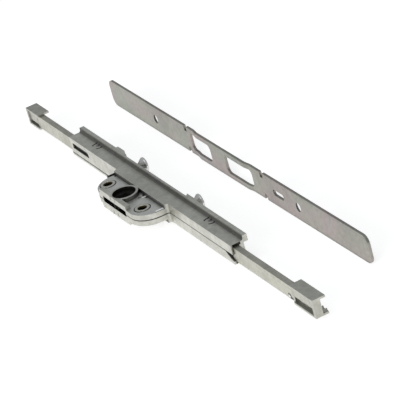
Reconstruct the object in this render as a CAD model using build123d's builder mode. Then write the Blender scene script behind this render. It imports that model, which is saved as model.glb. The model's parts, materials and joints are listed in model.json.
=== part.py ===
from build123d import *
import os
from math import acos, atan2, cos, floor, hypot, pi, radians, sin, sqrt, tan

# Espagnolette gearbox: a flat two-part casing with a handle hump, two opposed slides that a
# square-socket pinion drives, a mushroom locking pin on each slide, and the loose faceplate.
# X runs along the slides, Y from the handle spindle to the faceplate, Z is up.
# The origin is on the spindle axis, level with the plane where the two castings part.

os.makedirs("parts", exist_ok=True)

# Casing section
backset = 21.5              # spindle axis to the faceplate's outer face
faceplate_thickness = 1.5
flange_height = 16.0        # over both lips, as tall as the faceplate is wide
lip_rise = 2.5              # lips stand this far above and below the flat box
lip_depth = 2.7
box_front_y = 9.8           # front wall of the long box
front_wall = 0.85
cover_wall = 1.3            # flat walls above and below the slides
lip_fillet = 1.2
recess_left = 36.5          # the lips stand back here for the faceplate's joggled middle
recess_right = 39.0
recess_depth = 1.1

# Casing length
case_left = 93.0
case_right = 105.4

# Handle hump
hump_front = 7.4            # spindle axis to the hump's front face
hump_left = 28.8
hump_right = 33.2
hump_corner = 12.0
hump_wall = 1.4
web_fillet = 1.5
pocket_depth = 2.3
pocket_floor = 0.95
strip_front_y = 7.8         # edge of the flat strip where it crosses the hump
boss_radius = 7.9
rim_half_length = 16.5
rim_depth = 2.8
side_rim_width = 2.2
side_rim_front_y = 3.0
slot_left = 13.5
slot_right = 15.0
slot_clearance = 0.2
side_window_front_y = 4.8
ledge_reach = 2.6           # ledge at the hump's left end, with a window through its upper half
ledge_front_y = 4.0
ledge_margin = 0.7
rib_x = 10.0                # stiffening rib in the right pocket
rib_width = 0.8
rib_front_y = 5.6

# Spindle and handle screws
spindle_square = 7.0
square_clearance = 0.1
square_corner = 0.5
journal_radius = 6.35
running_clearance = 0.05
hub_recess = 2.3            # hub face below the strip
screw_spacing = 43.0
screw_bore_radius = 2.65
sleeve_radius = 3.4
sleeve_flange_radius = 4.2
sleeve_seat_radius = 4.6
sleeve_seat_depth = 0.45
sleeve_proud = 0.25

# Gear train
module = 0.8
pressure_angle = radians(25)
addendum = 0.8 * module
dedendum = 1.05 * module
flank_thinning = 0.06
pinion_teeth = 16
idler_teeth = 9
gear_clearance = 0.225      # toothed disc to the chamber's ceiling
level_gap = 0.25            # between the two rack levels
level_split = 0.5           # height of the gap's middle above the parting plane
tooth_gap = 0.3             # pinion tip to the tips of the far rack
idler_clearance = 0.325     # idler to the chamber's floor
axle_radius = 1.5
axle_spigot_radius = 1.0
spindle_turn = pi           # half a turn of the handle

# Slides
slide_clearance = 0.2       # above and below the slides
slide_front_y = 10.85
slide_width = 3.5
rack_back_y = 14.0
arm_front_y = 8.95
arm_spacing = 2.0           # least gap between the slides when both are drawn in
rack_margin = 2.4
lug_half_length = 4.0
lug_clearance = 0.3
rivet_radius = 1.2
rivet_inset = 5.0

# Slide ends with the castings that take the connecting rods
left_bar_reach = 138.4       # to the end of the bar, where the coupler's face stands
right_bar_reach = 166.0
left_coupler_length = 17.4
right_coupler_length = 23.4
coupler_front_y = 10.1
coupler_back_y = 17.4
coupler_plate = 1.1
coupler_web = 1.8
left_lip_setback = 2.5
right_lip_setback = 0.5
coupler_corner = 1.5
left_pocket_height = 2.0
right_pocket_height = 3.2
pocket_back_y = 12.1
pocket_end_wall = 1.5
tongue_length = 9.0
tongue_front_y = 12.6
tongue_rivet_inset = 4.0
left_rivet_rise = 5.0        # rivet axis above the channel's floor
right_rivet_rise = 1.7
ridge_pitch = 3.5
ridge_height = 1.2
ridge_width = 1.5

# Locking pins
left_pin_x = 31.5
right_pin_x = 36.5
neck_radius = 2.0
head_radius = 4.4
head_start_y = 23.2
head_length = 4.2
head_rim = 1.2
head_chamfer = 0.3
drive_socket_radius = 1.5
drive_socket_depth = 1.2

# Casing trim
window_left = 90.0
window_right = 68.7
window_bottom = 0.6         # window's lower edge below the parting plane
window_top = 2.7
window_corner = 2.4
lower_strip_height = 1.5
parting_gap = 0.1
notch_length = 8.4
notch_drop = 3.8
notch_bow = (0.55, 0.62)    # middle of the notch's curve, as shares of its length and drop
case_rivet_left = 66.5
case_rivet_right = 71.5
case_rivet_y = 15.95
case_rivet_radius = 1.25
stake_radius = 3.4          # crescent marks of the staking tool on both sides of each rivet
stake_width = 0.5
stake_depth = 0.25
stake_height = 2.0
stake_tilt = -12
ears = ((-45.5, 1.3), (42.0, 0.5))  # middle along the lip and depth behind it
ear_length = 8.5
ear_height = 3.0

# Faceplate, standing apart behind the gearbox
faceplate_gap = 37.1        # lips to faceplate
faceplate_left = 139.0
faceplate_right = 162.0
faceplate_corner = 4.5
faceplate_joggle = 0.7
joggle_run = 5.0
joggle_left = 29.5
joggle_right = 37.0
opening_height = 10.4
opening_corner = 3.0
opening_1 = (-34.0, -8.5)
opening_2 = (9.0, 39.0)
notch_size = 3.0
notch_left_x = -38.4
notch_right_x = 51.0
screw_hole_radius = 2.6
screw_sink_radius = 3.7
screw_hole_left = 79.0
screw_hole_right = 89.0
oblong_start = 61.5
oblong_length = 12.0
oblong_width = 3.5

# Heights above the parting plane
lip_top_z = flange_height / 2
case_top_z = lip_top_z - lip_rise
inner_top_z = case_top_z - cover_wall
slide_top_z = inner_top_z - slide_clearance
roof_z = case_top_z - pocket_depth
ceiling_z = roof_z - pocket_floor
upper_rack_z = level_split + level_gap / 2
lower_rack_top_z = level_split - level_gap / 2
disc_top_z = ceiling_z - gear_clearance
rack_thickness = disc_top_z - upper_rack_z
lower_rack_z = lower_rack_top_z - rack_thickness
idler_z = -ceiling_z + idler_clearance
left_rivet_z = -slide_top_z + left_rivet_rise
right_rivet_z = -slide_top_z + right_rivet_rise

# Depths
flange_rear_y = backset - faceplate_thickness
lip_front_y = flange_rear_y - lip_depth
channel_front_y = box_front_y + front_wall
slide_back_y = slide_front_y + slide_width
channel_back_y = slide_back_y + lug_clearance
lug_back_y = lip_front_y - lug_clearance
rack_rivet_y = (slide_front_y + rack_back_y) / 2

# Gear geometry
pitch = pi * module
pinion_radius = module * pinion_teeth / 2
idler_radius = module * idler_teeth / 2
travel = pinion_radius * spindle_turn
upper_rack_pitch_y = pinion_radius
lower_rack_pitch_y = pinion_radius + addendum + tooth_gap + addendum
idler_y = lower_rack_pitch_y - idler_radius
idler_x = sqrt((pinion_radius + idler_radius) ** 2 - idler_y ** 2)

# Slide stations, at rest with both slides drawn out
upper_rack_start = -travel - rack_margin
upper_rack_end = rack_margin
lower_rack_start = idler_x - rack_margin
lower_rack_end = idler_x + travel + rack_margin
left_bar_inner = lower_rack_start - 2 * travel - arm_spacing
right_bar_inner = upper_rack_end + 2 * travel + arm_spacing
left_bar_outer = -left_bar_reach
right_bar_outer = right_bar_reach

# Half-width of the band in which an edge or corner counts as lying on a plane
on_plane = 0.01


def span_block(x_span, y_span, z_span, mode=Mode.ADD):
    """Rectangular block between two corners, added to the open part."""
    with BuildSketch(Plane.XY.offset(z_span[0])) as footprint:
        with Locations(((x_span[0] + x_span[1]) / 2, (y_span[0] + y_span[1]) / 2)):
            Rectangle(x_span[1] - x_span[0], y_span[1] - y_span[0])
    extrude(footprint.sketch, amount=z_span[1] - z_span[0], mode=mode)


def upright_cylinder(x, y, radius, z_span, mode=Mode.ADD):
    """Vertical cylinder, added to the open part."""
    with BuildSketch(Plane.XY.offset(z_span[0])) as footprint:
        with Locations((x, y)):
            Circle(radius)
    extrude(footprint.sketch, amount=z_span[1] - z_span[0], mode=mode)


def cross_cylinder(x, z, radius, y_span, mode=Mode.ADD):
    """Cylinder along Y, added to the open part."""
    with BuildSketch(Plane.XZ.offset(-y_span[0])) as footprint:
        with Locations((x, z)):
            Circle(radius)
    extrude(footprint.sketch, amount=y_span[0] - y_span[1], mode=mode)


def hump_outline(inset):
    """Footprint of the handle hump, drawn in by an inset; its front corners are round."""
    with BuildSketch() as outline:
        with BuildLine():
            Polyline(
                (-hump_left + inset, channel_front_y),
                (-hump_left + inset, -hump_front + inset),
                (hump_right - inset, -hump_front + inset),
                (hump_right - inset, channel_front_y),
                close=True,
            )
        make_face()
        front = outline.vertices().sort_by(Axis.Y)[:2]
        fillet(front, hump_corner - inset)
    return outline.sketch


def involute(angle):
    return tan(angle) - angle


def gear_face(teeth, first_tooth):
    """Spur gear outline about the origin, with one tooth centred on the angle first_tooth."""
    pitch_radius = module * teeth / 2
    base_radius = pitch_radius * cos(pressure_angle)
    tip_radius = pitch_radius + addendum
    root_radius = pitch_radius - dedendum
    half_tooth = (pitch / 2 - flank_thinning) / (2 * pitch_radius) + involute(pressure_angle)
    tooth_radii = (root_radius, base_radius, (base_radius + tip_radius) / 2, tip_radius)

    def point(radius, centre, side):
        turn = centre + side * (half_tooth - involute(acos(min(1.0, base_radius / radius))))
        return (radius * cos(turn), radius * sin(turn))

    outline = []
    for tooth in range(teeth):
        centre = first_tooth + 2 * pi * tooth / teeth
        outline += [point(radius, centre, -1) for radius in tooth_radii]
        outline += [point(radius, centre, 1) for radius in reversed(tooth_radii)]
    with BuildSketch() as gear:
        with BuildLine():
            Polyline(*outline, close=True)
        make_face()
    return gear.sketch


def rack_face(start, end, pitch_y, space_x):
    """Straight rack with its teeth towards the spindle and one tooth space centred on space_x."""
    half_at_pitch = (pitch / 2 - flank_thinning) / 2
    half_tip = half_at_pitch - addendum * tan(pressure_angle)
    half_root = half_at_pitch + dedendum * tan(pressure_angle)
    tip_y = pitch_y - addendum
    root_y = pitch_y + dedendum
    first = floor((start - space_x) / pitch) + 1
    last = floor((end - space_x) / pitch) - 1
    outline = [(start, rack_back_y), (start, root_y)]
    for index in range(first, last + 1):
        centre = space_x + (index + 0.5) * pitch
        outline += [
            (centre - half_root, root_y),
            (centre - half_tip, tip_y),
            (centre + half_tip, tip_y),
            (centre + half_root, root_y),
        ]
    outline += [(end, root_y), (end, rack_back_y)]
    with BuildSketch() as rack:
        with BuildLine():
            Polyline(*outline, close=True)
        make_face()
    return rack.sketch


def pin_lug(pin_x, arm_span):
    """Lug behind the slide for the locking pin; it joins the arm and clears the other slide's."""
    x_span = (pin_x - lug_half_length, pin_x + lug_half_length)
    span_block(x_span, (slide_back_y, lug_back_y), arm_span)
    span_block(x_span, (channel_back_y, lug_back_y), (-slide_top_z, slide_top_z))
    cross_cylinder(pin_x, 0, neck_radius, (channel_back_y, lug_back_y), Mode.SUBTRACT)


# Casing half: all that the two castings share, drawn as the upper one
with BuildPart() as case_half:
    with BuildSketch() as footprint:
        with Locations(((case_right - case_left) / 2, (box_front_y + lip_front_y) / 2)):
            Rectangle(case_left + case_right, lip_front_y - box_front_y)
        add(hump_outline(0))
        web_corners = [
            v for v in footprint.vertices() if abs(v.Y - box_front_y) < on_plane and abs(v.X) < 2 * hump_right
        ]
        fillet(web_corners, web_fillet)
    extrude(amount=case_top_z)
    span_block((-case_left, case_right), (lip_front_y, flange_rear_y), (inner_top_z, lip_top_z))
    recess_span = (flange_rear_y - recess_depth, flange_rear_y)
    span_block((-recess_left, recess_right), recess_span, (inner_top_z, lip_top_z), Mode.SUBTRACT)
    # Pockets beside the spindle boss leave the boss ring, the front rim and the strip standing
    with BuildSketch(Plane.XY.offset(roof_z)):
        add(hump_outline(0))
        Circle(boss_radius, mode=Mode.SUBTRACT)
        with Locations((0, strip_front_y + box_front_y / 2)):
            Rectangle(3 * hump_right, box_front_y, mode=Mode.SUBTRACT)
        with Locations((0, -hump_front)):
            Rectangle(2 * rim_half_length, 2 * rim_depth, mode=Mode.SUBTRACT)
    extrude(amount=pocket_depth, mode=Mode.SUBTRACT)
    # Side rim and rib that climb from the pocket floor to the strip
    climbs = ((hump_right - side_rim_width, side_rim_width, side_rim_front_y), (rib_x, rib_width, rib_front_y))
    for start_x, width, front_y in climbs:
        with BuildSketch(Plane.YZ.offset(start_x)) as climb:
            with BuildLine():
                Polyline((front_y, roof_z), (strip_front_y, case_top_z), (strip_front_y, roof_z), close=True)
            make_face()
        extrude(climb.sketch, amount=width)
    span_block((-hump_left - ledge_reach, -hump_left), (ledge_front_y, box_front_y), (0, roof_z))
    lip_corner = (
        case_half.edges()
        .filter_by(Axis.X)
        .filter_by_position(Axis.Y, lip_front_y - on_plane, lip_front_y + on_plane)
        .filter_by_position(Axis.Z, case_top_z - on_plane, case_top_z + on_plane)
    )
    fillet(lip_corner, lip_fillet)
    # Channel for the slides, open at both ends, and the shallower gear chamber
    span_block((-case_left, case_right), (channel_front_y, channel_back_y), (0, inner_top_z), Mode.SUBTRACT)
    span_block(
        (-hump_left + hump_wall, hump_right - hump_wall),
        (strip_front_y + pocket_floor, channel_front_y),
        (0, inner_top_z),
        Mode.SUBTRACT,
    )
    with BuildSketch():
        add(hump_outline(hump_wall))
    extrude(amount=ceiling_z, mode=Mode.SUBTRACT)
    # Windows in the rear wall for the lugs of the slides
    for outer, inner in ((-left_pin_x, -left_pin_x + travel), (right_pin_x - travel, right_pin_x)):
        reach = lug_half_length + lug_clearance
        span_block((outer - reach, inner + reach), (channel_back_y, lip_front_y), (0, inner_top_z), Mode.SUBTRACT)
    # Spindle bore, screw sleeve seats, idler axle hole and rivet holes
    upright_cylinder(0, 0, journal_radius + running_clearance, (0, case_top_z), Mode.SUBTRACT)
    for side in (-1, 1):
        sleeve_x = side * screw_spacing / 2
        upright_cylinder(sleeve_x, 0, sleeve_radius, (0, case_top_z), Mode.SUBTRACT)
        upright_cylinder(sleeve_x, 0, sleeve_seat_radius, (roof_z - sleeve_seat_depth, case_top_z), Mode.SUBTRACT)
    upright_cylinder(idler_x, idler_y, axle_spigot_radius, (0, case_top_z), Mode.SUBTRACT)
    for rivet_x in (-case_rivet_left, case_rivet_right):
        upright_cylinder(rivet_x, case_rivet_y, case_rivet_radius, (0, case_top_z + lip_fillet), Mode.SUBTRACT)
        with BuildSketch(Plane.XY.offset(case_top_z - stake_depth)) as stake_marks:
            with Locations((rivet_x, case_rivet_y)):
                Circle(stake_radius + stake_width / 2)
                Circle(stake_radius - stake_width / 2, mode=Mode.SUBTRACT)
                Rectangle(3 * stake_radius, stake_height, rotation=stake_tilt, mode=Mode.INTERSECT)
        extrude(stake_marks.sketch, amount=stake_depth + lip_fillet, mode=Mode.SUBTRACT)

# Upper casting: its front wall on the left reaches down nearly to the floor
with BuildPart() as case_upper_shell:
    add(case_half.part)
    span_block(
        (-case_left, -hump_left - parting_gap),
        (box_front_y, channel_front_y),
        (-case_top_z + lower_strip_height + parting_gap, 0),
    )
    with BuildSketch(Plane.XZ.offset(-box_front_y)) as window:
        with Locations((-(window_left + window_right) / 2, (window_top - window_bottom) / 2)):
            Rectangle(window_left - window_right, window_top + window_bottom)
        fillet(window.vertices().group_by(Axis.X)[-1].sort_by(Axis.Y)[-1], window_corner)
    extrude(amount=-front_wall, mode=Mode.SUBTRACT)
    span_block(
        (-slot_left, slot_right),
        (-hump_front, -hump_front + hump_wall),
        (0, disc_top_z + slot_clearance),
        Mode.SUBTRACT,
    )
    window_y = (side_window_front_y, box_front_y - web_fillet)
    span_block((-hump_left - ledge_reach + ledge_margin, -hump_left), window_y, (0, roof_z), Mode.SUBTRACT)
    span_block((-hump_left, -hump_left + hump_wall), window_y, (0, ceiling_z), Mode.SUBTRACT)
    # Ears on the lip's rear face
    for ear_x, ear_depth in ears:
        with BuildSketch(Plane.XZ.offset(-flange_rear_y)):
            with Locations((ear_x, lip_top_z - ear_height / 2)):
                Rectangle(ear_length, ear_height)
        extrude(amount=-ear_depth)
case_upper_shell.part.label = "case_upper_shell"
export_step(case_upper_shell.part, "parts/case_upper_shell.step")

# Lower casting: a low strip on the left and a curved notch at the right end of its front wall
with BuildPart() as case_lower_shell:
    add(case_half.part.mirror(Plane.XY))
    span_block(
        (-case_left, -hump_left - parting_gap),
        (box_front_y, channel_front_y),
        (-case_top_z + lower_strip_height, 0),
        Mode.SUBTRACT,
    )
    with BuildSketch(Plane.XZ.offset(-box_front_y)):
        with BuildLine():
            Line((case_right - notch_length, 0), (case_right, 0))
            Line((case_right, 0), (case_right, -notch_drop))
            ThreePointArc(
                (case_right, -notch_drop),
                (case_right - notch_bow[0] * notch_length, -notch_bow[1] * notch_drop),
                (case_right - notch_length, 0),
            )
        make_face()
    extrude(amount=-front_wall, mode=Mode.SUBTRACT)
    span_block(
        (-slot_left, slot_right),
        (-hump_front, -hump_front + hump_wall),
        (lower_rack_z - slot_clearance, 0),
        Mode.SUBTRACT,
    )
case_lower_shell.part.label = "case_lower_shell"
export_step(case_lower_shell.part, "parts/case_lower_shell.step")

# Hollow flanged sleeves for the handle screws, which also clamp the castings together
sleeve_seat_z = roof_z - sleeve_seat_depth
sleeve_top_z = roof_z + sleeve_proud
for side, name in ((-1, "handle_sleeve_left"), (1, "handle_sleeve_right")):
    sleeve_x = side * screw_spacing / 2
    with BuildPart() as handle_sleeve:
        upright_cylinder(sleeve_x, 0, sleeve_radius, (-sleeve_seat_z, sleeve_seat_z))
        upright_cylinder(sleeve_x, 0, sleeve_flange_radius, (sleeve_seat_z, sleeve_top_z))
        upright_cylinder(sleeve_x, 0, sleeve_flange_radius, (-sleeve_top_z, -sleeve_seat_z))
        upright_cylinder(sleeve_x, 0, screw_bore_radius, (-sleeve_top_z, sleeve_top_z), Mode.SUBTRACT)
    handle_sleeve.part.label = name
    export_step(handle_sleeve.part, f"parts/{name}.step")

# Through rivets near the ends of the casing, flush on both sides
with BuildPart() as case_rivets:
    for rivet_x in (-case_rivet_left, case_rivet_right):
        upright_cylinder(rivet_x, case_rivet_y, case_rivet_radius, (-case_top_z, case_top_z))
case_rivets.part.label = "case_rivets"
export_step(case_rivets.part, "parts/case_rivets.step")

# Stepped axle of the idler: its spigots are staked flush in both castings
with BuildPart() as idler_axle:
    upright_cylinder(idler_x, idler_y, axle_radius, (-ceiling_z, lower_rack_top_z))
    upright_cylinder(idler_x, idler_y, axle_spigot_radius, (-roof_z, roof_z))
idler_axle.part.label = "idler_axle"
export_step(idler_axle.part, "parts/idler_axle.step")

# Spindle pinion: toothed disc between two journals, with the square socket right through
neck_top_z = -ceiling_z - running_clearance
pinion_neck_radius = hypot(idler_x, idler_y) - idler_radius - addendum - tooth_gap
with BuildPart() as spindle_pinion:
    with BuildSketch(Plane.XY.offset(lower_rack_z)):
        add(gear_face(pinion_teeth, pi / 2))
    extrude(amount=disc_top_z - lower_rack_z)
    upright_cylinder(0, 0, journal_radius, (disc_top_z, case_top_z - hub_recess))
    upright_cylinder(0, 0, pinion_neck_radius, (neck_top_z, lower_rack_z))
    upright_cylinder(0, 0, journal_radius, (-case_top_z + hub_recess, neck_top_z))
    with BuildSketch(Plane.XY.offset(-case_top_z)) as socket:
        Rectangle(spindle_square + square_clearance, spindle_square + square_clearance)
        chamfer(socket.vertices(), square_corner)
    extrude(amount=2 * case_top_z, mode=Mode.SUBTRACT)
spindle_pinion.part.label = "spindle_pinion"
export_step(spindle_pinion.part, "parts/spindle_pinion.step")

# Idler pinion: in mesh with the spindle pinion at rest, it reverses the right slide
pinion_step = 2 * pi / pinion_teeth
idler_step = 2 * pi / idler_teeth
idler_direction = atan2(idler_y, idler_x)
mesh_offset = (pi / 2 - idler_direction) % pinion_step
idler_space = idler_direction + pi - mesh_offset * pinion_radius / idler_radius
idler_tooth = idler_space + idler_step / 2
with BuildPart() as idler_pinion:
    with BuildSketch(Plane(origin=(idler_x, idler_y, idler_z))):
        add(gear_face(idler_teeth, idler_tooth))
        Circle(axle_radius + running_clearance, mode=Mode.SUBTRACT)
    extrude(amount=lower_rack_top_z - idler_z)
idler_pinion.part.label = "idler_pinion"
export_step(idler_pinion.part, "parts/idler_pinion.step")

# Steel racks, riveted to the arms of the slides
top_tooth_offset = (idler_tooth - pi / 2 + idler_step / 2) % idler_step - idler_step / 2
lower_space_x = idler_x - idler_radius * top_tooth_offset
rack_sets = (
    ("left_rack", upper_rack_start, upper_rack_end, upper_rack_pitch_y, 0, upper_rack_z),
    ("right_rack", lower_rack_start, lower_rack_end, lower_rack_pitch_y, lower_space_x, lower_rack_z),
)
for name, start, end, pitch_y, space_x, low_z in rack_sets:
    with BuildPart() as rack:
        with BuildSketch(Plane.XY.offset(low_z)):
            add(rack_face(start, end, pitch_y, space_x))
        extrude(amount=rack_thickness)
        for rivet_x in (start + rivet_inset, end - rivet_inset):
            upright_cylinder(
                rivet_x, rack_rivet_y, rivet_radius, (low_z, low_z + rack_thickness), Mode.SUBTRACT
            )
    rack.part.label = name
    export_step(rack.part, f"parts/{name}.step")

# Left slide: full-height bar, then an arm in the upper half that carries the upper rack
with BuildPart() as left_slide_bar:
    span_block((left_bar_outer, left_bar_inner), (slide_front_y, slide_back_y), (-slide_top_z, slide_top_z))
    span_block((left_bar_inner, upper_rack_start), (slide_front_y, slide_back_y), (upper_rack_z, slide_top_z))
    span_block((upper_rack_start, upper_rack_end), (arm_front_y, slide_back_y), (disc_top_z, slide_top_z))
    span_block((upper_rack_start, upper_rack_end), (rack_back_y, slide_back_y), (upper_rack_z, disc_top_z))
    span_block(
        (left_bar_outer - tongue_length, left_bar_outer), (tongue_front_y, slide_back_y), (-slide_top_z, slide_top_z)
    )
    pin_lug(-left_pin_x, (upper_rack_z, slide_top_z))
    for rivet_x in (upper_rack_start + rivet_inset, upper_rack_end - rivet_inset):
        upright_cylinder(rivet_x, rack_rivet_y, rivet_radius, (disc_top_z, slide_top_z), Mode.SUBTRACT)
    cross_cylinder(
        left_bar_outer - tongue_rivet_inset, left_rivet_z, rivet_radius, (tongue_front_y, slide_back_y), Mode.SUBTRACT
    )
left_slide_bar.part.label = "left_slide_bar"
export_step(left_slide_bar.part, "parts/left_slide_bar.step")

# Right slide: full-height bar, then an arm in the lower half that carries the lower rack
with BuildPart() as right_slide_bar:
    span_block((right_bar_inner, right_bar_outer), (slide_front_y, slide_back_y), (-slide_top_z, slide_top_z))
    span_block((lower_rack_end, right_bar_inner), (slide_front_y, slide_back_y), (-slide_top_z, lower_rack_top_z))
    span_block((lower_rack_start, lower_rack_end), (arm_front_y, slide_back_y), (-slide_top_z, lower_rack_z))
    span_block((lower_rack_start, lower_rack_end), (rack_back_y, slide_back_y), (lower_rack_z, lower_rack_top_z))
    span_block(
        (right_bar_outer, right_bar_outer + tongue_length), (tongue_front_y, slide_back_y), (-slide_top_z, slide_top_z)
    )
    pin_lug(right_pin_x, (-slide_top_z, lower_rack_top_z))
    for rivet_x in (lower_rack_start + rivet_inset, lower_rack_end - rivet_inset):
        upright_cylinder(rivet_x, rack_rivet_y, rivet_radius, (-slide_top_z, lower_rack_z), Mode.SUBTRACT)
    cross_cylinder(
        right_bar_outer + tongue_rivet_inset,
        right_rivet_z,
        rivet_radius,
        (tongue_front_y, slide_back_y),
        Mode.SUBTRACT,
    )
right_slide_bar.part.label = "right_slide_bar"
export_step(right_slide_bar.part, "parts/right_slide_bar.step")

# Rod couplers: castings over the tongues of the bars, with a ridged channel for the rod behind.
# Inward is +1 on the left slide and -1 on the right one.
coupler_sets = (
    ("left", left_bar_outer, left_coupler_length, 1, left_lip_setback, left_pocket_height, left_rivet_z),
    ("right", right_bar_outer, right_coupler_length, -1, right_lip_setback, right_pocket_height, right_rivet_z),
)
for hand, inner_x, length, inward, setback, pocket_height, rivet_z in coupler_sets:
    outer_x = inner_x - inward * length
    lip_x = inner_x - inward * setback
    rivet_x = inner_x - inward * tongue_rivet_inset
    x_all = sorted((outer_x, inner_x))
    x_web = sorted((outer_x, outer_x + inward * coupler_web))
    x_pocket = sorted((outer_x + inward * coupler_web, lip_x - inward * pocket_end_wall))
    x_tongue = sorted((inner_x, inner_x - inward * tongue_length))
    coupler_top_z = slide_top_z + coupler_plate
    with BuildPart() as rod_coupler:
        span_block(x_all, (slide_front_y, slide_back_y), (-slide_top_z, slide_top_z))
        span_block(x_all, (coupler_front_y, coupler_back_y), (slide_top_z, coupler_top_z))
        with BuildSketch(Plane.XY.offset(-coupler_top_z)) as lip:
            with Locations(((outer_x + lip_x) / 2, (coupler_front_y + coupler_back_y) / 2)):
                Rectangle(abs(lip_x - outer_x), coupler_back_y - coupler_front_y)
            fillet([v for v in lip.vertices() if abs(v.X - lip_x) < on_plane], coupler_corner)
        extrude(amount=coupler_plate)
        span_block(x_web, (coupler_front_y, slide_back_y), (-coupler_top_z, coupler_top_z))
        ridge_count = int((abs(lip_x - outer_x) - coupler_corner) / ridge_pitch)
        for index in range(ridge_count):
            ridge_x = outer_x + inward * (index + 0.5) * ridge_pitch
            with BuildSketch(Plane.XZ.offset(-coupler_back_y)):
                with BuildLine():
                    Polyline(
                        (ridge_x - ridge_width / 2, -slide_top_z),
                        (ridge_x, -slide_top_z + ridge_height),
                        (ridge_x + ridge_width / 2, -slide_top_z),
                        close=True,
                    )
                make_face()
            extrude(amount=coupler_back_y - slide_back_y)
        pocket_z = (-slide_top_z, -slide_top_z + pocket_height)
        span_block(x_pocket, (slide_front_y, pocket_back_y), pocket_z, Mode.SUBTRACT)
        span_block(x_tongue, (tongue_front_y, slide_back_y), (-slide_top_z, slide_top_z), Mode.SUBTRACT)
        cross_cylinder(rivet_x, rivet_z, rivet_radius, (slide_front_y, tongue_front_y), Mode.SUBTRACT)
    rod_coupler.part.label = f"{hand}_rod_coupler"
    export_step(rod_coupler.part, f"parts/{hand}_rod_coupler.step")

    # Cross rivet, flush with the surface that it starts from
    in_pocket = rivet_z + rivet_radius < pocket_z[1]
    with BuildPart() as coupler_rivet:
        rivet_front_y = pocket_back_y if in_pocket else slide_front_y
        cross_cylinder(rivet_x, rivet_z, rivet_radius, (rivet_front_y, slide_back_y))
    coupler_rivet.part.label = f"{hand}_coupler_rivet"
    export_step(coupler_rivet.part, f"parts/{hand}_coupler_rivet.step")

# Rack rivets, flush with the arms and the racks
rack_rivet_sets = (
    ("left_rack_rivets", upper_rack_start, upper_rack_end, (upper_rack_z, slide_top_z)),
    ("right_rack_rivets", lower_rack_start, lower_rack_end, (-slide_top_z, lower_rack_top_z)),
)
for name, start, end, z_span in rack_rivet_sets:
    with BuildPart() as rack_rivets:
        for rivet_x in (start + rivet_inset, end - rivet_inset):
            upright_cylinder(rivet_x, rack_rivet_y, rivet_radius, z_span)
    rack_rivets.part.label = name
    export_step(rack_rivets.part, f"parts/{name}.step")

# Mushroom locking pins, riveted into the lugs of the slides
head_end_y = head_start_y + head_length
for pin_x, name in ((-left_pin_x, "left_locking_pin"), (right_pin_x, "right_locking_pin")):
    with BuildPart() as locking_pin:
        with BuildSketch():
            with BuildLine():
                Polyline(
                    (pin_x, channel_back_y),
                    (pin_x + neck_radius, channel_back_y),
                    (pin_x + neck_radius, head_start_y),
                    (pin_x + head_radius, head_end_y - head_rim),
                    (pin_x + head_radius, head_end_y),
                    (pin_x, head_end_y),
                    close=True,
                )
            make_face()
        revolve(axis=Axis((pin_x, 0, 0), (0, 1, 0)))
        with BuildSketch(Plane.XZ.offset(-head_end_y)):
            with Locations((pin_x, 0)):
                RegularPolygon(drive_socket_radius, 6)
        extrude(amount=drive_socket_depth, mode=Mode.SUBTRACT)
        chamfer(locking_pin.edges().filter_by(GeomType.CIRCLE).sort_by(Axis.Y)[-1], head_chamfer)
    locking_pin.part.label = name
    export_step(locking_pin.part, f"parts/{name}.step")

# Faceplate: a flat bar on edge, its middle joggled towards the gearbox
plate_y = flange_rear_y + faceplate_gap
outer_y = plate_y + faceplate_joggle
far_y = outer_y + faceplate_thickness
with BuildPart() as faceplate:
    with BuildSketch(Plane.XY.offset(-lip_top_z)):
        with BuildLine():
            Polyline(
                (-faceplate_left, outer_y),
                (-joggle_left, outer_y),
                (-joggle_left + joggle_run, plate_y),
                (joggle_right - joggle_run, plate_y),
                (joggle_right, outer_y),
                (faceplate_right, outer_y),
                (faceplate_right, far_y),
                (joggle_right, far_y),
                (joggle_right - joggle_run, plate_y + faceplate_thickness),
                (-joggle_left + joggle_run, plate_y + faceplate_thickness),
                (-joggle_left, far_y),
                (-faceplate_left, far_y),
                close=True,
            )
        make_face()
    extrude(amount=flange_height)
    ends = faceplate.edges().filter_by(Axis.Y).sort_by(Axis.X)
    fillet(ends[:2] + ends[-2:], faceplate_corner)
    with BuildSketch(Plane.XZ.offset(-far_y)):
        for start, end in (opening_1, opening_2):
            with Locations(((start + end) / 2, 0)):
                RectangleRounded(end - start, opening_height, opening_corner)
        for notch_x in (notch_left_x, notch_right_x):
            for notch_z in (-lip_top_z, lip_top_z):
                with Locations((notch_x, notch_z)):
                    Rectangle(notch_size, 2 * notch_size)
        with Locations((oblong_start + oblong_length / 2, 0)):
            SlotOverall(oblong_length, oblong_width)
        with Locations((-screw_hole_left, 0), (screw_hole_right, 0)):
            Circle(screw_hole_radius)
    extrude(amount=far_y - plate_y, mode=Mode.SUBTRACT)
    for hole_x in (-screw_hole_left, screw_hole_right):
        with BuildSketch(Plane.XZ.offset(-far_y)):
            with Locations((hole_x, 0)):
                Circle(screw_sink_radius)
        extrude(amount=screw_sink_radius - screw_hole_radius, taper=45, mode=Mode.SUBTRACT)
faceplate.part.label = "faceplate"
export_step(faceplate.part, "parts/faceplate.step")
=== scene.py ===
import json
import math

import bpy
from mathutils import Matrix, Vector


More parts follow.
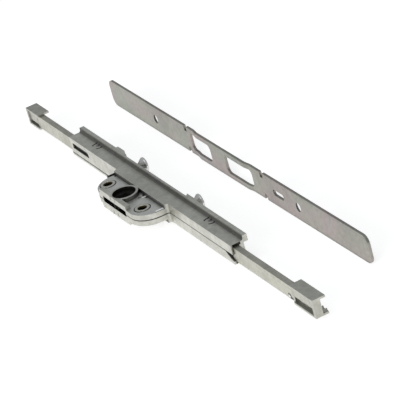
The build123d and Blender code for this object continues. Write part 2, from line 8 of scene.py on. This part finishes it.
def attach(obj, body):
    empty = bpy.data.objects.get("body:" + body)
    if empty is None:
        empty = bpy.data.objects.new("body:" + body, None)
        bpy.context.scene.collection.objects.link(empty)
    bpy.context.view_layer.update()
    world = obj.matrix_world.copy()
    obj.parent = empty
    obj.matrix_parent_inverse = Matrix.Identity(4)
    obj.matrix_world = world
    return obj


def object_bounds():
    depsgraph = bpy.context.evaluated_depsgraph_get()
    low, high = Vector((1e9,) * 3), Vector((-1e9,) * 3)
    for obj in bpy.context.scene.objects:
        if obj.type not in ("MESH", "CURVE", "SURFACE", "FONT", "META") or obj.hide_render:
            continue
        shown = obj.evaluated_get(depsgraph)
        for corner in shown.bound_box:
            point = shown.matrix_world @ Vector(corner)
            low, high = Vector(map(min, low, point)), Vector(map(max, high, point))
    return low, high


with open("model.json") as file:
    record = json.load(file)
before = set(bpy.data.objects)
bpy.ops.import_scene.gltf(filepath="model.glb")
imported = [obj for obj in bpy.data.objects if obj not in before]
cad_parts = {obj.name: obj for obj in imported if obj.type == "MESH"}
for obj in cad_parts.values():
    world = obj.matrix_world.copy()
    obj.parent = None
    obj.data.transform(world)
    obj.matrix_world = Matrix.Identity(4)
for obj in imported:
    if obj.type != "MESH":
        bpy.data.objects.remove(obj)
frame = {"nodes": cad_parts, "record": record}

cad_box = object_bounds()
nodes = frame["nodes"]

# Looks of the espagnolette gearbox: a finish for each CAD node, one small rivet head, floor,
# lamps and camera. Marks, stains, painted shade and painted highlights are placed in millimetres of the
# part's own frame.


# Node helpers
def shader(name):
    """New material with its output and a Principled shader, and its node tree."""
    mat = bpy.data.materials.new(name)
    mat.use_nodes = True
    tree = mat.node_tree
    return mat, tree, tree.nodes["Principled BSDF"]


def add(tree, kind, **values):
    """Node of a kind, with inputs set by their label."""
    node = tree.nodes.new(kind)
    for label, value in values.items():
        node.inputs[label].default_value = value
    return node


def wire(tree, source, target):
    tree.links.new(source, target)


def place(tree, scale):
    """Object-space coordinates in metres, stretched by a scale."""
    coords = tree.nodes.new("ShaderNodeTexCoord")
    mapping = tree.nodes.new("ShaderNodeMapping")
    mapping.inputs["Scale"].default_value = scale
    wire(tree, coords.outputs["Object"], mapping.inputs["Vector"])
    return mapping.outputs["Vector"]


def noise(tree, scale, detail=4.0, roughness=0.55, stretch=(1, 1, 1)):
    node = add(tree, "ShaderNodeTexNoise", Scale=scale, Detail=detail, Roughness=roughness)
    wire(tree, place(tree, stretch), node.inputs["Vector"])
    return node.outputs["Fac"]


def ramp(tree, source, low, high, start, end):
    """Value or colour that runs from start to end as the source runs from low to high."""
    node = tree.nodes.new("ShaderNodeValToRGB")
    node.color_ramp.elements[0].position = low
    node.color_ramp.elements[1].position = high
    node.color_ramp.elements[0].color = (*start, 1)
    node.color_ramp.elements[1].color = (*end, 1)
    wire(tree, source, node.inputs["Fac"])
    return node.outputs["Color"]


def grey(value):
    return (value, value, value)


def mix(tree, factor, a, b, blend="MIX"):
    """Colour mix; each of factor, a and b is a socket or a constant."""
    node = tree.nodes.new("ShaderNodeMix")
    node.data_type = "RGBA"
    node.blend_type = blend
    for socket, value in ((node.inputs[0], factor), (node.inputs[6], a), (node.inputs[7], b)):
        if isinstance(value, (int, float)):
            socket.default_value = value
        elif isinstance(value, tuple):
            socket.default_value = (*value, 1)
        else:
            wire(tree, value, socket)
    return node.outputs[2]


def math_node(tree, operation, a, b):
    node = tree.nodes.new("ShaderNodeMath")
    node.operation = operation
    for socket, value in ((node.inputs[0], a), (node.inputs[1], b)):
        if isinstance(value, (int, float)):
            socket.default_value = value
        else:
            wire(tree, value, socket)
    return node.outputs[0]


def bump(tree, height, strength, distance, after=None):
    node = add(tree, "ShaderNodeBump", Strength=strength, Distance=distance)
    wire(tree, height, node.inputs["Height"])
    if after is not None:
        wire(tree, after, node.inputs["Normal"])
    return node.outputs["Normal"]


def crevice(tree, reach):
    """1 in the open and towards 0 in corners closer than the reach."""
    node = tree.nodes.new("ShaderNodeAmbientOcclusion")
    node.samples = 8
    node.inputs["Distance"].default_value = reach
    return node.outputs["AO"]


def rounded_edges(tree, radius):
    """Normal with the sharp edges eased over a radius, and a mask that is 1 along them."""
    eased = tree.nodes.new("ShaderNodeBevel")
    eased.samples = 4
    eased.inputs["Radius"].default_value = radius
    geometry = tree.nodes.new("ShaderNodeNewGeometry")
    dot = tree.nodes.new("ShaderNodeVectorMath")
    dot.operation = "DOT_PRODUCT"
    wire(tree, eased.outputs["Normal"], dot.inputs[0])
    wire(tree, geometry.outputs["True Normal"], dot.inputs[1])
    turned = math_node(tree, "SUBTRACT", 1.0, dot.outputs["Value"])
    mask = ramp(tree, turned, 0.02, 0.25, grey(0), grey(1))
    return eased.outputs["Normal"], mask


def darken(tree, colour, mask, share, stain):
    """Colour pulled by a share towards another one where the mask is 1."""
    return mix(tree, math_node(tree, "MULTIPLY", mask, share), colour, stain)


def axes(tree):
    """Object-space X, Y and Z in millimetres."""
    split = tree.nodes.new("ShaderNodeSeparateXYZ")
    wire(tree, place(tree, (1000, 1000, 1000)), split.inputs["Vector"])
    return [split.outputs[name] for name in "XYZ"]


def within(tree, value, low, high, soft=0.08):
    """1 where the value lies well between two limits, eased to 0 at the limits."""
    off = math_node(tree, "ABSOLUTE", math_node(tree, "SUBTRACT", value, (low + high) / 2), 0)
    mask = math_node(tree, "DIVIDE", math_node(tree, "SUBTRACT", (high - low) / 2, off), soft)
    mask.node.use_clamp = True
    return mask


def product(tree, *masks):
    total = masks[0]
    for mask in masks[1:]:
        total = math_node(tree, "MULTIPLY", total, mask)
    return total


def union(tree, *masks):
    total = masks[0]
    for mask in masks[1:]:
        total = math_node(tree, "MAXIMUM", total, mask)
    return total


def region(tree, *spans):
    """1 inside all the spans; each is a value, its two limits and, if need be, how softly it ends."""
    return product(tree, *[within(tree, *span) for span in spans])


def reach_from(tree, across, along, centre):
    """Distance from an axis, in the plane of the two coordinates."""
    dx = math_node(tree, "SUBTRACT", across, centre[0])
    dy = math_node(tree, "SUBTRACT", along, centre[1])
    square_x = math_node(tree, "MULTIPLY", dx, dx)
    square_y = math_node(tree, "MULTIPLY", dy, dy)
    return math_node(tree, "SQRT", math_node(tree, "ADD", square_x, square_y), 0)


# Places and heights that the marks use, in millimetres; spans end just past or short of the real edge
sleeve_axis = (21.5, 0)                           # right sleeve; the left one mirrors it
pocket_walls = (3.1, 5.42)                        # from the pockets' floor to the top of their walls
strip_edge = 7.75                                 # where the pockets end at the flat strip
chamber_half = 2.28                               # ceiling of the gear chamber
case_rivets = ((-66.5, 15.95), (71.5, 15.95))
cross_rivet = (162.7, -2.5)                       # X and Z of the small rivet in the right bar


def rib_highlights(tree):
    """Painted highlight on the side rim and on a rib in the right pocket."""
    x, y, z = axes(tree)
    level = math_node(tree, "ABSOLUTE", z, 0)
    side_rim = region(tree, (x, 30.9, 32.5), (y, 3.0, strip_edge), (level, *pocket_walls))
    rib = region(tree, (x, 9.93, 10.87), (y, 5.4, strip_edge), (level, *pocket_walls))
    return union(tree, side_rim, rib)


def shell_marks(tree, colour, grime_and_shade):
    """Dark joints between the castings, painted shade where the case has openings, recesses and corners,
    and painted light on the pocket floors.
    """
    x, y, z = axes(tree)
    level = math_node(tree, "ABSOLUTE", z, 0)
    from_spindle = reach_from(tree, x, y, (0, 0))
    from_sleeve = reach_from(tree, math_node(tree, "ABSOLUTE", x, 0), y, sleeve_axis)
    wall_level = (level, *pocket_walls)
    # Painted light: the pocket floors lightened towards pale grey
    floors = region(tree, (level, 3.1, 3.3, 0.02), (y, -8, 7.7, 0.3))
    colour = darken(tree, colour, floors, 0.4, (0.90, 0.91, 0.90))

    # Joint between the castings; on the left it runs low along the front
    low_stretch = region(tree, (x, -94, -28.9), (y, 5, 12))
    middle_joint = within(tree, z, -0.42, 0.42, 0.2)
    low_joint = within(tree, z, -4.5, -3.4, 0.2)
    colour = darken(tree, colour, mix(tree, low_stretch, middle_joint, low_joint), 0.9, grime_and_shade)

    # Painted shade on the front of the lips down to their root, and on their front edge; less towards the
    # top
    lip_front = region(tree, (x, -92.95, 105.35, 0.02), (y, 16.1, 18.4, 0.6), (level, 5.4, 7.97, 0.03))
    lip_edge = region(tree, (y, 17.0, 17.9, 0.5), (level, 7.9, 8.1, 0.01))
    fade = ramp(tree, math_node(tree, "DIVIDE", level, 10), 0.62, 0.8, grey(0.70), grey(0.62))
    colour = darken(tree, colour, union(tree, lip_front, lip_edge), fade, grime_and_shade)

    # Painted shade on the walls that face the pockets, and in the corners of the pockets
    strip_wall = within(tree, y, 7.6, 8.0)
    boss_wall = within(tree, from_spindle, 7.7, 8.1)
    walls = product(tree, union(tree, strip_wall, boss_wall), within(tree, *wall_level))
    colour = darken(tree, colour, walls, 0.7, grime_and_shade)
    corners = union(
        tree,
        within(tree, x, 6.8, 9.9, 0.6),
        within(tree, x, 10.9, 13.2, 0.8),
        within(tree, x, -29, -25.8, 0.8),
    )
    corners = product(tree, corners, region(tree, (y, 6.4, 8.0, 0.5), (level, 3, 5.2)))
    colour = darken(tree, colour, corners, 0.95, grime_and_shade)

    # Painted shade in the bores, seats, stake marks and all that lies inside
    rings = [within(tree, reach_from(tree, x, y, centre), 2.9, 4.15, 0.15) for centre in case_rivets]
    stakes = product(tree, union(tree, *rings), region(tree, (y, 13.5, 17.2, 0.2), (level, 4.5, 6.2, 0.02)))
    spindle_bore = within(tree, from_spindle, -7, 6.64, 0.1)
    sleeve_seats = within(tree, from_sleeve, -5, 4.74, 0.05)
    side_rim_back = region(tree, (x, 32.4, 33.0, 0.1), (y, 2.2, strip_edge), wall_level)
    ledge_window = region(tree, (x, -31.3, -28.85), (y, 3.9, 9.78), (z, -0.1, 3.3, 0.02))
    cover_end = region(tree, (x, 105.3, 105.6, 0.02), (y, 10.7, 15.6), (level, 4, 5.45, 0.02))
    slide_channel = region(tree, (y, 10.6, 14.75), (z, -4.24, 4.24, 0.03))
    inner_level = (z, -chamber_half, chamber_half, 0.03)
    gear_chamber = region(tree, (x, -20, 24), (y, -5.95, 11), inner_level)
    front_slot = region(tree, (x, -13.55, 15.05, 0.02), (y, -7.33, -5.9, 0.02), inner_level)
    inside = union(
        tree, spindle_bore, sleeve_seats, stakes, side_rim_back, ledge_window,
        cover_end, slide_channel, gear_chamber, front_slot,
    )
    # Painted shade: near black over all these openings and recesses
    return darken(tree, colour, inside, 0.96, grime_and_shade)


def casting(name, light, dark, grime_and_shade, corner_share, painted_highlight=None, marks=None):
    """Zinc pressure casting: bright skin with flow marks, fine grain, pits and painted shade in the
    corners.
    """
    mat, tree, bsdf = shader(name)
    normal, edge = rounded_edges(tree, radius=0.00025)
    mottle = noise(tree, scale=260, detail=6, roughness=0.65)
    colour = ramp(tree, mottle, 0.35, 0.66, dark, light)
    flow = noise(tree, scale=90, detail=3, stretch=(0.3, 1, 1))
    colour = mix(tree, ramp(tree, flow, 0.40, 0.66, grey(0), grey(0.5)), colour, grey(0.72), "MULTIPLY")
    pits = ramp(tree, noise(tree, scale=2600, detail=2), 0.66, 0.74, grey(0), grey(1))
    colour = darken(tree, colour, pits, 0.35, grey(0.2))
    colour = darken(tree, colour, edge, 0.45, grey(0.84))
    # Painted shade: darker where ambient occlusion finds corners
    corners = ramp(tree, crevice(tree, reach=0.0022), 0.30, 0.92, grey(1), grey(0))
    colour = darken(tree, colour, corners, corner_share, grime_and_shade)
    bsdf.inputs["Metallic"].default_value = 0.88
    if painted_highlight:
        # Painted highlight: pale, less metallic colour on the ribs
        highlight_mask = painted_highlight(tree)
        colour = darken(tree, colour, highlight_mask, 0.85, grey(0.92))
        wire(tree, ramp(tree, highlight_mask, 0, 1, grey(0.88), grey(0.1)), bsdf.inputs["Metallic"])
    if marks:
        colour = marks(tree, colour, grime_and_shade)
    wire(tree, colour, bsdf.inputs["Base Color"])
    gloss = noise(tree, scale=420, detail=3)
    wire(tree, ramp(tree, gloss, 0.3, 0.75, grey(0.34), grey(0.50)), bsdf.inputs["Roughness"])
    fine = noise(tree, scale=3200, detail=2)
    grain = bump(tree, fine, strength=0.30, distance=0.00004, after=normal)
    wire(tree, bump(tree, flow, strength=0.3, distance=0.0002, after=grain), bsdf.inputs["Normal"])
    return mat


def bar_marks(tree, colour):
    """Painted shade where the case covers the bars, a brown rub in the notch at its right end, and painted
    shade round the right bar's small rivet and in the groove beside it."""
    x, _, z = axes(tree)
    # Painted shade: near black where the case covers the bar
    covered = within(tree, x, -91.6, 103.9, 0.5)
    colour = darken(tree, colour, covered, 0.97, (0.022, 0.020, 0.016))
    rub = product(tree, within(tree, x, 96, 104.6, 1.5), noise(tree, scale=900, detail=3))
    colour = darken(tree, colour, rub, 0.6, (0.24, 0.21, 0.14))
    # Painted shade round the small rivet and in the groove beside it
    rivet_ring = within(tree, reach_from(tree, x, z, cross_rivet), -3, 1.75, 0.2)
    groove = region(tree, (x, 163.2, 166.1), (z, -4.1, -2.4, 0.2))
    return darken(tree, colour, union(tree, rivet_ring, groove), 0.92, (0.03, 0.028, 0.024))


def plate_marks(tree, colour):
    """Painted shade on the walls of the countersunk holes."""
    x, y, z = axes(tree)
    holes = [within(tree, reach_from(tree, x, z, (centre, 0)), -5, 3.72, 0.04) for centre in (-79, 89)]
    behind_front = within(tree, y, 57.84, 60, 0.02)
    return darken(tree, colour, product(tree, union(tree, *holes), behind_front), 0.9, grey(0.02))


def sleeve_marks(tree, colour):
    """Painted brassy highlight in the bore, and painted shade that is black lower down."""
    x, y, z = axes(tree)
    from_axis = reach_from(tree, math_node(tree, "ABSOLUTE", x, 0), y, sleeve_axis)
    # Painted highlight: brassy colour in the bore
    bore = within(tree, from_axis, -3, 2.72, 0.04)
    colour = darken(tree, colour, bore, 0.8, (0.60, 0.50, 0.27))
    # Painted shade: black lower down in the bore
    deep = within(tree, z, -2.9, 2.9, 0.7)
    return darken(tree, colour, product(tree, bore, deep), 0.98, (0.012, 0.011, 0.010))


# Faint iridescent film on plated strip: tints by their place in the noise
film_tints = (
    (0.32, (0.70, 0.90, 0.72)),
    (0.46, (0.90, 0.88, 0.80)),
    (0.56, (1.0, 0.76, 0.80)),
    (0.70, (0.78, 0.82, 0.98)),
)


def film_colour(tree):
    """Bands of the film's tints, stretched a little along X."""
    bands = add(tree, "ShaderNodeTexNoise", Scale=34.0, Detail=3.0, Distortion=0.6)
    wire(tree, place(tree, (0.5, 1, 1)), bands.inputs["Vector"])
    hue = tree.nodes.new("ShaderNodeValToRGB")
    stops = hue.color_ramp.elements
    for stop, (position, tint) in zip((stops[0], stops[1]), (film_tints[0], film_tints[-1])):
        stop.position = position
        stop.color = (*tint, 1)
    for position, tint in film_tints[1:-1]:
        stops.new(position).color = (*tint, 1)
    wire(tree, bands.outputs["Fac"], hue.inputs["Fac"])
    return hue.outputs["Color"]


def drawn_steel(name, light, dark, film=0.0, marks=None):
    """Zinc-plated drawn steel: streaks along X, scratches, spots and, if asked for, a share of film."""
    mat, tree, bsdf = shader(name)
    normal, edge = rounded_edges(tree, radius=0.0002)
    streaks = noise(tree, scale=900, detail=6, roughness=0.7, stretch=(0.03, 1, 1))
    colour = ramp(tree, streaks, 0.3, 0.72, dark, light)
    cloud = noise(tree, scale=60, detail=4)
    colour = mix(tree, ramp(tree, cloud, 0.42, 0.68, grey(0), grey(0.4)), colour, grey(0.62), "MULTIPLY")
    spots = ramp(tree, noise(tree, scale=420, detail=5, roughness=0.7), 0.42, 0.66, grey(0), grey(0.45))
    colour = mix(tree, spots, colour, (0.60, 0.60, 0.54), "MULTIPLY")
    if film:
        colour = mix(tree, film, colour, film_colour(tree), "MULTIPLY")
    lines = noise(tree, scale=2400, detail=2, stretch=(0.06, 1, 1))
    colour = darken(tree, colour, ramp(tree, lines, 0.7, 0.78, grey(0), grey(1)), 0.3, grey(0.25))
    colour = darken(tree, colour, edge, 0.45, grey(0.82))
    # Painted shade: darker where ambient occlusion finds corners
    corners = ramp(tree, crevice(tree, reach=0.0025), 0.30, 0.92, grey(1), grey(0))
    colour = darken(tree, colour, corners, 0.7, (0.045, 0.042, 0.038))
    if marks:
        colour = marks(tree, colour)
    wire(tree, colour, bsdf.inputs["Base Color"])
    bsdf.inputs["Metallic"].default_value = 0.92
    wire(tree, ramp(tree, streaks, 0.25, 0.75, grey(0.30), grey(0.44)), bsdf.inputs["Roughness"])
    wire(tree, bump(tree, streaks, strength=0.2, distance=0.00004, after=normal), bsdf.inputs["Normal"])
    return mat


def turned_steel(name, light, dark, rough, rounding=0.00025, marks=None, metallic=0.95):
    """Turned steel: fine marks that run round Y, the axis of the pins, bright edges and painted shade in
    the corners.
    """
    mat, tree, bsdf = shader(name)
    normal, edge = rounded_edges(tree, rounding)
    rings = noise(tree, scale=1500, detail=5, roughness=0.7, stretch=(1, 3, 1))
    colour = ramp(tree, rings, 0.3, 0.7, dark, light)
    colour = darken(tree, colour, edge, 0.5, grey(0.9))
    # Painted shade: darker where ambient occlusion finds corners
    corners = ramp(tree, crevice(tree, reach=0.002), 0.25, 0.9, grey(1), grey(0))
    colour = darken(tree, colour, corners, 0.85, (0.03, 0.028, 0.026))
    if marks:
        colour = marks(tree, colour)
    wire(tree, colour, bsdf.inputs["Base Color"])
    bsdf.inputs["Metallic"].default_value = metallic
    wire(tree, ramp(tree, rings, 0.3, 0.75, grey(rough[0]), grey(rough[1])), bsdf.inputs["Roughness"])
    wire(tree, bump(tree, rings, strength=0.15, distance=0.00003, after=normal), bsdf.inputs["Normal"])
    return mat


def oiled_steel(name):
    """Dark sintered steel, porous and black with old grease and painted shade, a little worn along its
    edges.
    """
    mat, tree, bsdf = shader(name)
    normal, edge = rounded_edges(tree, radius=0.0002)
    pores = noise(tree, scale=2800, detail=3)
    # Near black base: old grease, and painted shade for the gears inside the case
    colour = ramp(tree, pores, 0.35, 0.7, (0.004, 0.004, 0.0035), (0.014, 0.013, 0.012))
    colour = darken(tree, colour, edge, 0.35, grey(0.16))
    wire(tree, colour, bsdf.inputs["Base Color"])
    bsdf.inputs["Specular IOR Level"].default_value = 0.15
    gloss = noise(tree, scale=300)
    wire(tree, ramp(tree, gloss, 0.3, 0.7, grey(0.45), grey(0.65)), bsdf.inputs["Roughness"])
    wire(tree, bump(tree, pores, strength=0.3, distance=0.00004, after=normal), bsdf.inputs["Normal"])
    return mat


# One finish for each material slot of the record
# Near black for real dirt in the joints and for painted shade in corners, recesses and openings
dirt_and_shade = (0.016, 0.015, 0.013)
finishes = {
    "zinc_casting": casting(
        "zinc_casting", light=(0.70, 0.695, 0.635), dark=(0.55, 0.545, 0.49),
        grime_and_shade=dirt_and_shade, corner_share=0.75, painted_highlight=rib_highlights, marks=shell_marks,
    ),
    "coupler_casting": casting(
        "coupler_casting", light=(0.60, 0.595, 0.535), dark=(0.46, 0.455, 0.40),
        grime_and_shade=dirt_and_shade, corner_share=0.30,
    ),
    "bar_steel": drawn_steel(
        "bar_steel", light=(0.62, 0.61, 0.535), dark=(0.50, 0.49, 0.42), marks=bar_marks,
    ),
    "plate_steel": drawn_steel(
        "plate_steel", light=(0.47, 0.455, 0.425), dark=(0.38, 0.37, 0.345), film=0.5, marks=plate_marks,
    ),
    "sleeve_steel": turned_steel(
        "sleeve_steel", light=(0.86, 0.84, 0.76), dark=(0.60, 0.58, 0.52),
        rough=(0.22, 0.34), rounding=0.0006, marks=sleeve_marks,
    ),
    "rivet_steel": turned_steel(
        "rivet_steel", light=(0.45, 0.44, 0.41), dark=(0.26, 0.255, 0.24), rough=(0.35, 0.5),
    ),
    "pin_steel": turned_steel(
        "pin_steel", light=(0.90, 0.89, 0.86), dark=(0.70, 0.69, 0.67),
        rough=(0.14, 0.26), rounding=0.0004, metallic=0.8,
    ),
    "gear_steel": oiled_steel("gear_steel"),
}
for row in frame["record"]["subparts"]:
    node = nodes[row["node"]]
    node.data.materials.clear()
    node.data.materials.append(finishes[row["material_slot"]])

# Domed head of the small cross rivet at the inner end of the right coupler, in millimetres
head_radius = 1.05
head_height = 0.42
head_base_y = 10.84                               # just inside the bar's front, which is at 10.85
head_sides = 24
head_rings = 6
head_points = []
for ring in range(head_rings):
    rise = math.radians(90 * ring / head_rings)
    for side in range(head_sides):
        turn = math.tau * side / head_sides
        reach = head_radius * math.cos(rise)
        head_points.append((reach * math.cos(turn), reach * math.sin(turn), head_height * math.sin(rise)))
head_points.append((0, 0, head_height))
crown = head_rings * head_sides
head_faces = []
for ring in range(head_rings):
    for side in range(head_sides):
        here = ring * head_sides + side
        beside = ring * head_sides + (side + 1) % head_sides
        if ring < head_rings - 1:
            head_faces.append((here, beside, beside + head_sides, here + head_sides))
        else:
            head_faces.append((here, beside, crown))
head_faces.append(tuple(reversed(range(head_sides))))
rivet_x, rivet_z = cross_rivet
head_points = [(rivet_x + x, head_base_y - height, rivet_z + z) for x, z, height in head_points]
mesh = bpy.data.meshes.new("right_rivet_head")
mesh.from_pydata([(x / 1000, y / 1000, z / 1000) for x, y, z in head_points], [], head_faces)
mesh.update()
mesh.polygons.foreach_set("use_smooth", [len(p.vertices) < 5 for p in mesh.polygons])
rivet_head = bpy.data.objects.new("right_rivet_head", mesh)
bpy.context.scene.collection.objects.link(rivet_head)
mesh.materials.append(finishes["pin_steel"])
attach(rivet_head, "right_slide")

# Floor: white where the camera or a reflection sees it, apart from the object's shadow
floor_size = 40
floor_drop = 0.0001
floor_grey = 0.50
floor_glow = 0.72
bpy.ops.mesh.primitive_plane_add(size=floor_size, location=(0, 0, cad_box[0].z - floor_drop))
floor = bpy.context.object
floor.name = "floor"
mat, tree, bsdf = shader("studio_floor")
bsdf.inputs["Base Color"].default_value = (*grey(floor_grey), 1)
bsdf.inputs["Roughness"].default_value = 1.0
bsdf.inputs["Specular IOR Level"].default_value = 0.0
paths = tree.nodes.new("ShaderNodeLightPath")
seen = math_node(tree, "MAXIMUM", paths.outputs["Is Camera Ray"], paths.outputs["Is Glossy Ray"])
seen = math_node(tree, "MAXIMUM", seen, paths.outputs["Is Transmission Ray"])
glow = tree.nodes.new("ShaderNodeEmission")
wire(tree, math_node(tree, "MULTIPLY", seen, floor_glow), glow.inputs["Strength"])
both = tree.nodes.new("ShaderNodeAddShader")
wire(tree, bsdf.outputs["BSDF"], both.inputs[0])
wire(tree, glow.outputs["Emission"], both.inputs[1])
wire(tree, both.outputs["Shader"], tree.nodes["Material Output"].inputs["Surface"])
floor.data.materials.append(mat)

# World: a plain, faintly blue room
room_colour = (0.93, 0.97, 1.0)
room_strength = 0.385
world = bpy.data.worlds.new("studio")
bpy.context.scene.world = world
world.use_nodes = True
background = world.node_tree.nodes["Background"]
background.inputs["Color"].default_value = (*room_colour, 1)
background.inputs["Strength"].default_value = room_strength


def softbox(name, position, target, size, power):
    """Rectangular lamp at a position, facing a target."""
    lamp = bpy.data.lights.new(name, "AREA")
    lamp.shape = "RECTANGLE"
    lamp.size, lamp.size_y = size
    lamp.energy = power
    box = bpy.data.objects.new(name, lamp)
    bpy.context.scene.collection.objects.link(box)
    box.location = position
    box.rotation_euler = (Vector(target) - Vector(position)).to_track_quat("-Z", "Y").to_euler()
    return box


middle = Vector((0.017, 0.026, 0.0))
front_softbox = softbox(
    "front_softbox", position=(0.55, -1.25, 0.45), target=middle, size=(1.6, 0.9), power=18.0,
)
front_softbox.visible_glossy = False  # the flat tops would mirror it as plain white from behind
softbox("top_softbox", position=(0.45, -0.3, 1.6), target=middle, size=(1.2, 1.2), power=6.0)

# Camera: the photograph's view, fitted by points of the object whose sizes are known
azimuth = math.radians(69.374)
elevation = math.radians(25.600)
roll = math.radians(-15.622)
aim = Vector((0.034907, 0.027423, 0.0))
distance = 1.432046
camera_data = bpy.data.cameras.new("photo_view")
camera_data.lens = 245.08
camera_data.sensor_width = 36.0
camera_data.clip_start = 0.05
camera_data.clip_end = 60.0
camera = bpy.data.objects.new("photo_view", camera_data)
bpy.context.scene.collection.objects.link(camera)
bpy.context.scene.camera = camera
level_reach = math.cos(elevation)
away = Vector((math.sin(azimuth) * level_reach, -math.cos(azimuth) * level_reach, math.sin(elevation)))
across = Vector((0, 0, 1)).cross(away).normalized()
upright = Matrix((across, away.cross(across), away)).transposed().to_4x4()
camera.matrix_world = Matrix.Translation(aim + away * distance) @ upright @ Matrix.Rotation(roll, 4, "Z")

bpy.context.scene.view_settings.view_transform = "Standard"
